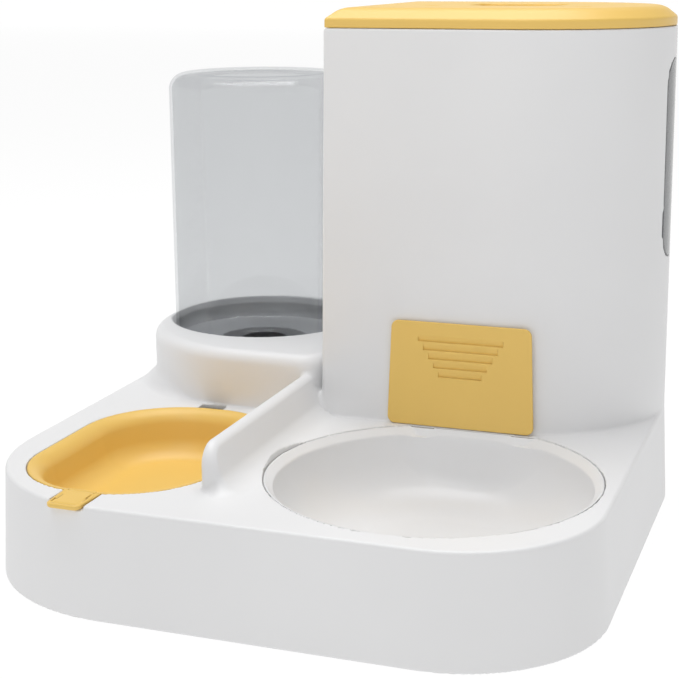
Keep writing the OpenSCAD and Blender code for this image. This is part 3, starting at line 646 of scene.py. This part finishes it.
def lid(x, y, z):
    plan = plate(x, y, TOWER) + TOWER_LEAN + 0.3
    low, high = lid_low[2], lid_high[2]
    chamfer = (plan * LID_SLOPE_H + (z - low - LID_BAND) * LID_SLOPE_W) / math.hypot(LID_SLOPE_H, LID_SLOPE_W)
    solid = meet(meet(plan, chamfer, 0.7), z - high, 2.0)
    solid = meet(solid, low - z, 0.4)
    hollow = max_of(plan + LID_WALL, chamfer + 2.4, z - (high - LID_WALL))
    pad = max_of(plate(x, y, DISH) - 2.4, high - 5.4 - z)
    solid = cut(solid, np.maximum(hollow, -pad), 0.4)
    solid = cut(solid, meet(plate(x, y, DISH), high - 3.0 - z, 2.0), 0.8)
    for cx, cy in DIMPLES:
        ball = np.sqrt((x - cx) ** 2 + (y - cy) ** 2 + (z - high - 9.0) ** 2) - 10.2
        solid = cut(solid, ball, 0.4)
    return solid


# ---------------------------------------------------------------- window, bottle

def lens(x, y, z):
    wall = tower_side(x, y, z)
    d = meet(window_shape(y, z) - WINDOW_RIM, slab(wall, -1.0, 0.0), 0.25)
    return np.maximum(d, TOWER[1] - TOWER_R - x)


def bottle():
    """Blown bottle with a round shoulder at its flat end and a short neck below."""
    r, wall = BOTTLE_R, 1.8
    top, end = bottle_high[2], bottle_low[2]
    floor = WELL_FLOOR + 0.2
    outer = [(16.0, end), (16.0, 68.0), (17.0, 69.5), (22.5, floor - 0.4), (24.5, floor)]
    outer += arc(r - 7.0, floor + 7.0, 7.0, -90, 0, 10)
    outer += arc(r - 9.5, top - 9.5, 9.5, 0, 90, 14)
    outer += [(r - 12.5, top), (r - 14.0, top - 0.5), (0, top - 0.5)]
    inner = [(0, top - 0.5 - wall), (r - 14.0, top - 0.5 - wall)]
    inner += arc(r - 9.5, top - 9.5, 9.5 - wall, 90, 0, 12)
    inner += arc(r - 7.0, floor + 7.0, 7.0 - wall, 0, -90, 8)
    inner += [(23.5, floor + wall), (16.0, 70.5), (14.2, 68.0), (14.2, end)]
    obj = turned("bottle_body", outer + inner, (WELL_X, WELL_Y), 160)
    obj.data.polygons.foreach_set("use_smooth", [True] * len(obj.data.polygons))
    return finish_piece(obj, CLEAR, "bottle", ["bottle"])


# ---------------------------------------------------------------- build

SHELL_STEP = 1.25

moulded("white_shell", shell, base_low, (base_high[0], base_high[1], MOUTH), SHELL_STEP, 0.25,
        WHITE, "housing", ["base_housing", "bottle_seat", "food_tower"])
moulded("food_bowl_moulding", food_bowl, food_low, food_high, 1.0, 0.3,
        BOWL_WHITE, "food_bowl", ["food_bowl"])
moulded("water_bowl_moulding", water_bowl, water_low, water_high, 0.8, 0.3,
        YELLOW, "water_bowl", ["water_bowl"])
moulded("shutter_plate", shutter, shutter_low, shutter_high, 0.45, 0.3,
        YELLOW, "shutter", ["outlet_shutter"])
moulded("lid_moulding", lid, lid_low, lid_high, 0.8, 0.3,
        YELLOW, "lid", ["lid"])
moulded("window_pane", lens, lens_low, lens_high, 0.5, 0.3,
        TINTED, "housing", ["window_lens"])
bottle()

NODE_MATERIALS = {
    "white_shell": WHITE,
    "yellow_plastic": YELLOW,
    "black_rubber": BLACK,
    "silicone": SILICONE,
    "steel": STEEL,
    "clear_plastic": CLEAR,
    "window_tint": TINTED,
}
for part in frame["record"]["subparts"]:
    node = frame["nodes"][part["node"]]
    node.data.materials.clear()
    node.data.materials.append(NODE_MATERIALS[part["material_slot"]])


# ---------------------------------------------------------------- stage

FLOOR_HALF, WALLS_TALL = 6.0, 1.6       # metres, as everything below
FLOOR_ALBEDO, FLOOR_GLOW = 0.10, 0.93
WORLD_STRENGTH = 0.30
CAMERA_DEGREES = (19.7626, 13.9842, -0.3044)    # azimuth, elevation and roll
CAMERA_PLACE = (0.25486, -0.72819, 0.29422)
CAMERA_LENS, CAMERA_SENSOR = 80.087, 36.0       # millimetres
LIGHTS = (                              # name, place, aim, size, watts
    ("key_above", (-0.12, 0.15, 1.5), (0, 0, 0.05), (1.2, 1.2), 18.0),
    ("front_fill", (-0.1, -1.3, 1.5), (0, 0, 0.1), (0.9, 0.9), 5.0),
)


def area_light(name, place, aim, size, power):
    light = bpy.data.lights.new(name, "AREA")
    light.shape = "RECTANGLE"
    light.size, light.size_y = size
    light.energy = power
    obj = bpy.data.objects.new(name, light)
    bpy.context.scene.collection.objects.link(obj)
    obj.location = place
    obj.rotation_euler = (Vector(aim) - Vector(place)).to_track_quat("-Z", "Y").to_euler()


def floor():
    """Pale floor and far walls around it, so that every view has the same background."""
    mesh = bpy.data.meshes.new("floor")
    half, tall = FLOOR_HALF, WALLS_TALL
    corners = [(-half, -half), (half, -half), (half, half), (-half, half)]
    verts = [(x, y, 0.0) for x, y in corners] + [(x, y, tall) for x, y in corners]
    walls = [(i + 4, (i + 1) % 4 + 4, (i + 1) % 4, i) for i in range(4)]
    mesh.from_pydata(verts, [], [(0, 1, 2, 3)] + walls)
    obj = bpy.data.objects.new("floor", mesh)
    bpy.context.scene.collection.objects.link(obj)
    material, nodes, links, shader = new_material("pale_floor")
    shader.inputs["Base Color"].default_value = (FLOOR_ALBEDO, FLOOR_ALBEDO, FLOOR_ALBEDO, 1)
    shader.inputs["Roughness"].default_value = 0.9
    shader.inputs["Specular IOR Level"].default_value = 0.0
    shader.inputs["Emission Color"].default_value = (1, 1, 1, 1)
    shader.inputs["Emission Strength"].default_value = FLOOR_GLOW
    obj.data.materials.append(material)


def world():
    data = bpy.data.worlds.new("studio")
    bpy.context.scene.world = data
    data.use_nodes = True
    background = data.node_tree.nodes["Background"]
    background.inputs["Color"].default_value = (1, 1, 1, 1)
    background.inputs["Strength"].default_value = WORLD_STRENGTH


def camera():
    azimuth, elevation, roll = (math.radians(a) for a in CAMERA_DEGREES)
    right = Vector((math.cos(azimuth), math.sin(azimuth), 0))
    back = Vector((math.sin(azimuth) * math.cos(elevation), -math.cos(azimuth) * math.cos(elevation),
                   math.sin(elevation)))
    up = back.cross(right)
    tilted_right = math.cos(roll) * right + math.sin(roll) * up
    tilted_up = -math.sin(roll) * right + math.cos(roll) * up
    data = bpy.data.cameras.new("camera")
    data.sensor_width = CAMERA_SENSOR
    data.lens = CAMERA_LENS
    obj = bpy.data.objects.new("camera", data)
    bpy.context.scene.collection.objects.link(obj)
    turn = Matrix((tilted_right, tilted_up, back)).transposed().to_4x4()
    obj.matrix_world = Matrix.Translation(CAMERA_PLACE) @ turn
    data.clip_start = 0.01
    bpy.context.scene.camera = obj


floor()
world()
camera()
for light in LIGHTS:
    area_light(*light)
bpy.context.scene.view_settings.view_transform = "Standard"
